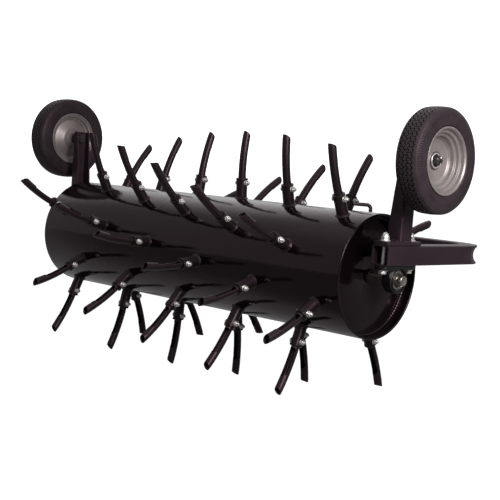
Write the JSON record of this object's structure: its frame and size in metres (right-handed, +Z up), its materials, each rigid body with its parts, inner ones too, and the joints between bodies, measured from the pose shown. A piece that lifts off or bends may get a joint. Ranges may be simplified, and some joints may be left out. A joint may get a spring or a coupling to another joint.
{
  "type": "drum core aerator",
  "caption": "Tow-behind drum core aerator: steel drum with curved coring spoons in a U-shaped frame with transport wheels and a drawbar pin.",
  "frame": {"origin": "middle of the bounding box's bottom face: on the ground, under the middle of the machine. The axle's centre line is at y -0.2162, z 0.3527", "axes": "+X along the axle, +Y from the drum to the tongue, +Z up, with the frame level and the transport wheels up"},
  "size_m": [1.565, 1.1377, 0.7872],
  "materials": {
    "black_paint": "gloss black powder coat",
    "black_rubber": "matt moulded rubber",
    "silver_paint": "satin silver-grey paint",
    "zinc_plate": "bright zinc plating",
    "bearing_steel": "ground steel"
  },
  "bodies": {
    "frame": {"frame": "black_paint", "left_bearing_housing": "black_paint", "left_wheel_arm": "black_paint", "left_wheel_bolt": "zinc_plate", "right_bearing_housing": "black_paint", "right_wheel_arm": "black_paint", "right_wheel_bolt": "zinc_plate"},
    "drum": {"drum": "black_paint", "axle": "bearing_steel", "left_bearing_inner_ring": "bearing_steel", "right_bearing_inner_ring": "bearing_steel", "tine_row1_no1": "black_paint", "tine_row1_no2": "black_paint", "tine_row1_no3": "black_paint", "tine_row1_no4": "black_paint", "tine_row1_no5": "black_paint", "tine_row1_no6": "black_paint", "tine_row2_no1": "black_paint", "tine_row2_no2": "black_paint", "tine_row2_no3": "black_paint", "tine_row2_no4": "black_paint", "tine_row2_no5": "black_paint", "tine_row3_no1": "black_paint", "tine_row3_no2": "black_paint", "tine_row3_no3": "black_paint", "tine_row3_no4": "black_paint", "tine_row3_no5": "black_paint", "tine_row3_no6": "black_paint", "tine_row4_no1": "black_paint", "tine_row4_no2": "black_paint", "tine_row4_no3": "black_paint", "tine_row4_no4": "black_paint", "tine_row4_no5": "black_paint", "tine_row5_no1": "black_paint", "tine_row5_no2": "black_paint", "tine_row5_no3": "black_paint", "tine_row5_no4": "black_paint", "tine_row5_no5": "black_paint", "tine_row5_no6": "black_paint", "tine_row6_no1": "black_paint", "tine_row6_no2": "black_paint", "tine_row6_no3": "black_paint", "tine_row6_no4": "black_paint", "tine_row6_no5": "black_paint", "tine_row7_no1": "black_paint", "tine_row7_no2": "black_paint", "tine_row7_no3": "black_paint", "tine_row7_no4": "black_paint", "tine_row7_no5": "black_paint", "tine_row7_no6": "black_paint", "tine_row8_no1": "black_paint", "tine_row8_no2": "black_paint", "tine_row8_no3": "black_paint", "tine_row8_no4": "black_paint", "tine_row8_no5": "black_paint"},
    "left_wheel": {"left_tyre": "black_rubber", "left_rim": "silver_paint"},
    "right_wheel": {"right_tyre": "black_rubber", "right_rim": "silver_paint"},
    "hitch_pin": {"hitch_pin": "black_paint"}
  },
  "joints": [
    {"name": "drum_spin", "type": "hinge", "parent": "frame", "child": "drum", "pos_m": [0, -0.2162, 0.3527], "axis": [1, 0, 0], "continuous": true},
    {"name": "left_wheel_spin", "type": "hinge", "parent": "frame", "child": "left_wheel", "pos_m": [-0.748, -0.2092, 0.6557], "axis": [1, 0, 0], "continuous": true},
    {"name": "right_wheel_spin", "type": "hinge", "parent": "frame", "child": "right_wheel", "pos_m": [0.748, -0.2092, 0.6557], "axis": [1, 0, 0], "continuous": true},
    {"name": "hitch_pin_lift", "type": "slide", "parent": "frame", "child": "hitch_pin", "axis": [0, 0, 1], "range_m": [0, 0.12]}
  ]
}
